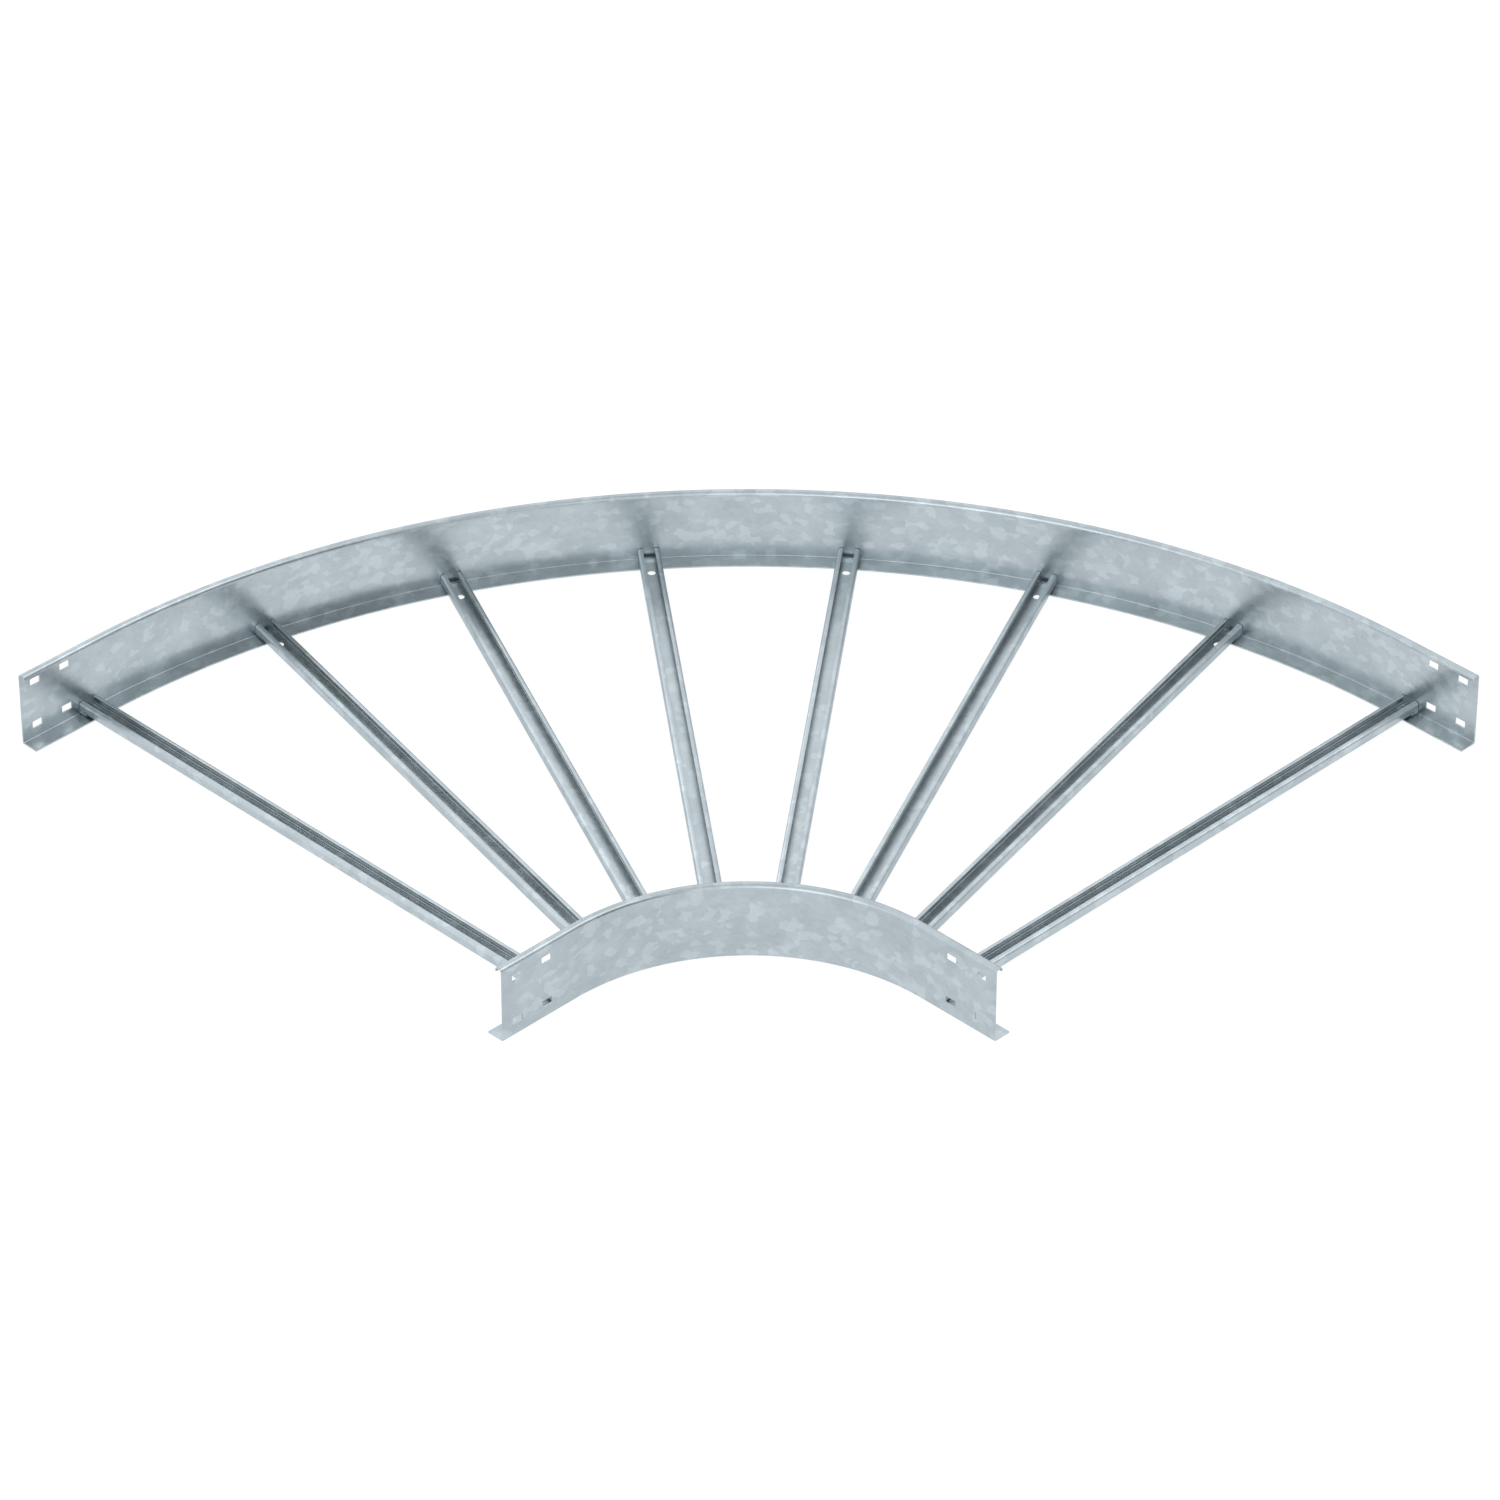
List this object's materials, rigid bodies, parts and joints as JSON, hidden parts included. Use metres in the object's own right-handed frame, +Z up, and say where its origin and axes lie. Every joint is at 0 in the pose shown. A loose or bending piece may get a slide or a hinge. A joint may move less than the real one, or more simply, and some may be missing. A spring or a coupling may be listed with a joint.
{
  "type": "cable ladder bend",
  "caption": "Flat 90 degree cable ladder bend of galvanised steel: two curved side rails with folded flanges, joined by open C-section rungs.",
  "frame": {"origin": "under the middle of the outline, level with the undersides of the bottom flanges", "axes": "+Z up; end A of the bend faces -Y and end B faces -X, and the bend's centre lies on the -X -Y side"},
  "size_m": [1.329, 1.329, 0.109],
  "materials": {
    "galvanised_steel": "hot-dip galvanised, satin, with a soft spangle"
  },
  "bodies": {
    "root": {"outer_rail": "galvanised_steel", "inner_rail": "galvanised_steel", "rung_1": "galvanised_steel", "rung_2": "galvanised_steel", "rung_3": "galvanised_steel", "rung_4": "galvanised_steel", "rung_5": "galvanised_steel", "rung_6": "galvanised_steel", "rung_7": "galvanised_steel", "rung_8": "galvanised_steel"}
  },
  "joints": []
}
